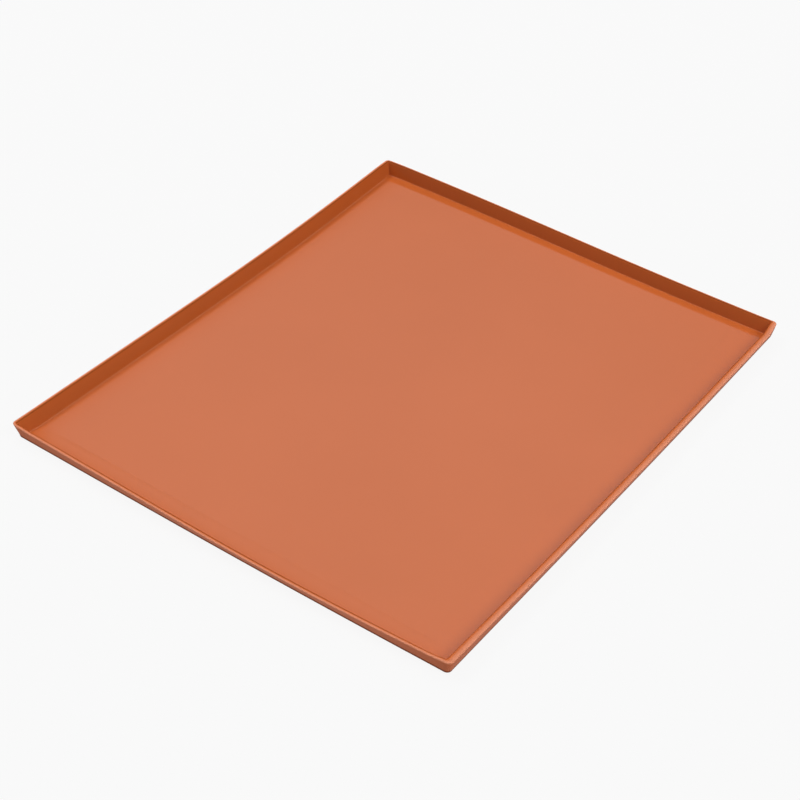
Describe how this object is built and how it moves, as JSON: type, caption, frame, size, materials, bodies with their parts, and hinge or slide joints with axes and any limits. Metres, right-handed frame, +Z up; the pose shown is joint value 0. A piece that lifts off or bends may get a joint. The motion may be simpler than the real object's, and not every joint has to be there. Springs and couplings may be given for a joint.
{
  "type": "silicone swiss roll mat",
  "caption": "Shallow rectangular silicone baking mat with a low outward-leaning rim; lies flat for baking a thin sponge and rolls up lengthwise from either end.",
  "frame": {"origin": "centre of the underside, on the surface that the mat lies on", "axes": "+X along the long side of the mat, +Y along the short side, +Z up out of the tray"},
  "size_m": [0.33, 0.27, 0.009],
  "materials": {
    "silicone": "satin terracotta silicone"
  },
  "bodies": {
    "left_end_strip": {"left_end_strip": "silicone"},
    "left_strip_11": {"left_strip_11": "silicone"},
    "left_strip_10": {"left_strip_10": "silicone"},
    "left_strip_09": {"left_strip_09": "silicone"},
    "left_strip_08": {"left_strip_08": "silicone"},
    "left_strip_07": {"left_strip_07": "silicone"},
    "left_strip_06": {"left_strip_06": "silicone"},
    "left_strip_05": {"left_strip_05": "silicone"},
    "left_strip_04": {"left_strip_04": "silicone"},
    "left_strip_03": {"left_strip_03": "silicone"},
    "left_strip_02": {"left_strip_02": "silicone"},
    "left_strip_01": {"left_strip_01": "silicone"},
    "centre_strip": {"centre_strip": "silicone"},
    "right_strip_01": {"right_strip_01": "silicone"},
    "right_strip_02": {"right_strip_02": "silicone"},
    "right_strip_03": {"right_strip_03": "silicone"},
    "right_strip_04": {"right_strip_04": "silicone"},
    "right_strip_05": {"right_strip_05": "silicone"},
    "right_strip_06": {"right_strip_06": "silicone"},
    "right_strip_07": {"right_strip_07": "silicone"},
    "right_strip_08": {"right_strip_08": "silicone"},
    "right_strip_09": {"right_strip_09": "silicone"},
    "right_strip_10": {"right_strip_10": "silicone"},
    "right_strip_11": {"right_strip_11": "silicone"},
    "right_end_strip": {"right_end_strip": "silicone"}
  },
  "joints": [
    {"name": "left_roll", "type": "hinge", "parent": "centre_strip", "child": "left_strip_01", "pos_m": [-0.0066, 0, 0.0015], "axis": [0, 1, 0], "range_deg": [0, 14], "stiffness_Nm_per_rad": 0.05},
    {"name": "left_bend_02", "type": "hinge", "parent": "left_strip_01", "child": "left_strip_02", "pos_m": [-0.0198, 0, 0.0015], "axis": [0, 1, 0], "range_deg": [0, 14], "stiffness_Nm_per_rad": 0.05},
    {"name": "left_bend_03", "type": "hinge", "parent": "left_strip_02", "child": "left_strip_03", "pos_m": [-0.033, 0, 0.0015], "axis": [0, 1, 0], "range_deg": [0, 14], "stiffness_Nm_per_rad": 0.05},
    {"name": "left_bend_04", "type": "hinge", "parent": "left_strip_03", "child": "left_strip_04", "pos_m": [-0.0462, 0, 0.0015], "axis": [0, 1, 0], "range_deg": [0, 14], "stiffness_Nm_per_rad": 0.05},
    {"name": "left_bend_05", "type": "hinge", "parent": "left_strip_04", "child": "left_strip_05", "pos_m": [-0.0594, 0, 0.0015], "axis": [0, 1, 0], "range_deg": [0, 14], "stiffness_Nm_per_rad": 0.05},
    {"name": "left_bend_06", "type": "hinge", "parent": "left_strip_05", "child": "left_strip_06", "pos_m": [-0.0726, 0, 0.0015], "axis": [0, 1, 0], "range_deg": [0, 14], "stiffness_Nm_per_rad": 0.05},
    {"name": "left_bend_07", "type": "hinge", "parent": "left_strip_06", "child": "left_strip_07", "pos_m": [-0.0858, 0, 0.0015], "axis": [0, 1, 0], "range_deg": [0, 14], "stiffness_Nm_per_rad": 0.05},
    {"name": "left_bend_08", "type": "hinge", "parent": "left_strip_07", "child": "left_strip_08", "pos_m": [-0.099, 0, 0.0015], "axis": [0, 1, 0], "range_deg": [0, 14], "stiffness_Nm_per_rad": 0.05},
    {"name": "left_bend_09", "type": "hinge", "parent": "left_strip_08", "child": "left_strip_09", "pos_m": [-0.1122, 0, 0.0015], "axis": [0, 1, 0], "range_deg": [0, 14], "stiffness_Nm_per_rad": 0.05},
    {"name": "left_bend_10", "type": "hinge", "parent": "left_strip_09", "child": "left_strip_10", "pos_m": [-0.1254, 0, 0.0015], "axis": [0, 1, 0], "range_deg": [0, 14], "stiffness_Nm_per_rad": 0.05},
    {"name": "left_bend_11", "type": "hinge", "parent": "left_strip_10", "child": "left_strip_11", "pos_m": [-0.1386, 0, 0.0015], "axis": [0, 1, 0], "range_deg": [0, 14], "stiffness_Nm_per_rad": 0.05},
    {"name": "left_end_bend", "type": "hinge", "parent": "left_strip_11", "child": "left_end_strip", "pos_m": [-0.1518, 0, 0.0015], "axis": [0, 1, 0], "range_deg": [0, 14], "stiffness_Nm_per_rad": 0.05},
    {"name": "right_roll", "type": "hinge", "parent": "centre_strip", "child": "right_strip_01", "pos_m": [0.0066, 0, 0.0015], "axis": [0, -1, 0], "range_deg": [0, 14], "stiffness_Nm_per_rad": 0.05},
    {"name": "right_bend_02", "type": "hinge", "parent": "right_strip_01", "child": "right_strip_02", "pos_m": [0.0198, 0, 0.0015], "axis": [0, -1, 0], "range_deg": [0, 14], "stiffness_Nm_per_rad": 0.05},
    {"name": "right_bend_03", "type": "hinge", "parent": "right_strip_02", "child": "right_strip_03", "pos_m": [0.033, 0, 0.0015], "axis": [0, -1, 0], "range_deg": [0, 14], "stiffness_Nm_per_rad": 0.05},
    {"name": "right_bend_04", "type": "hinge", "parent": "right_strip_03", "child": "right_strip_04", "pos_m": [0.0462, 0, 0.0015], "axis": [0, -1, 0], "range_deg": [0, 14], "stiffness_Nm_per_rad": 0.05},
    {"name": "right_bend_05", "type": "hinge", "parent": "right_strip_04", "child": "right_strip_05", "pos_m": [0.0594, 0, 0.0015], "axis": [0, -1, 0], "range_deg": [0, 14], "stiffness_Nm_per_rad": 0.05},
    {"name": "right_bend_06", "type": "hinge", "parent": "right_strip_05", "child": "right_strip_06", "pos_m": [0.0726, 0, 0.0015], "axis": [0, -1, 0], "range_deg": [0, 14], "stiffness_Nm_per_rad": 0.05},
    {"name": "right_bend_07", "type": "hinge", "parent": "right_strip_06", "child": "right_strip_07", "pos_m": [0.0858, 0, 0.0015], "axis": [0, -1, 0], "range_deg": [0, 14], "stiffness_Nm_per_rad": 0.05},
    {"name": "right_bend_08", "type": "hinge", "parent": "right_strip_07", "child": "right_strip_08", "pos_m": [0.099, 0, 0.0015], "axis": [0, -1, 0], "range_deg": [0, 14], "stiffness_Nm_per_rad": 0.05},
    {"name": "right_bend_09", "type": "hinge", "parent": "right_strip_08", "child": "right_strip_09", "pos_m": [0.1122, 0, 0.0015], "axis": [0, -1, 0], "range_deg": [0, 14], "stiffness_Nm_per_rad": 0.05},
    {"name": "right_bend_10", "type": "hinge", "parent": "right_strip_09", "child": "right_strip_10", "pos_m": [0.1254, 0, 0.0015], "axis": [0, -1, 0], "range_deg": [0, 14], "stiffness_Nm_per_rad": 0.05},
    {"name": "right_bend_11", "type": "hinge", "parent": "right_strip_10", "child": "right_strip_11", "pos_m": [0.1386, 0, 0.0015], "axis": [0, -1, 0], "range_deg": [0, 14], "stiffness_Nm_per_rad": 0.05},
    {"name": "right_end_bend", "type": "hinge", "parent": "right_strip_11", "child": "right_end_strip", "pos_m": [0.1518, 0, 0.0015], "axis": [0, -1, 0], "range_deg": [0, 14], "stiffness_Nm_per_rad": 0.05}
  ],
  "couplings": [
    {"joint": "left_bend_02", "follows": "left_roll", "ratio": 1},
    {"joint": "left_bend_03", "follows": "left_roll", "ratio": 1},
    {"joint": "left_bend_04", "follows": "left_roll", "ratio": 1},
    {"joint": "left_bend_05", "follows": "left_roll", "ratio": 1},
    {"joint": "left_bend_06", "follows": "left_roll", "ratio": 1},
    {"joint": "left_bend_07", "follows": "left_roll", "ratio": 1},
    {"joint": "left_bend_08", "follows": "left_roll", "ratio": 1},
    {"joint": "left_bend_09", "follows": "left_roll", "ratio": 1},
    {"joint": "left_bend_10", "follows": "left_roll", "ratio": 1},
    {"joint": "left_bend_11", "follows": "left_roll", "ratio": 1},
    {"joint": "left_end_bend", "follows": "left_roll", "ratio": 1},
    {"joint": "right_bend_02", "follows": "right_roll", "ratio": 1},
    {"joint": "right_bend_03", "follows": "right_roll", "ratio": 1},
    {"joint": "right_bend_04", "follows": "right_roll", "ratio": 1},
    {"joint": "right_bend_05", "follows": "right_roll", "ratio": 1},
    {"joint": "right_bend_06", "follows": "right_roll", "ratio": 1},
    {"joint": "right_bend_07", "follows": "right_roll", "ratio": 1},
    {"joint": "right_bend_08", "follows": "right_roll", "ratio": 1},
    {"joint": "right_bend_09", "follows": "right_roll", "ratio": 1},
    {"joint": "right_bend_10", "follows": "right_roll", "ratio": 1},
    {"joint": "right_bend_11", "follows": "right_roll", "ratio": 1},
    {"joint": "right_end_bend", "follows": "right_roll", "ratio": 1}
  ]
}
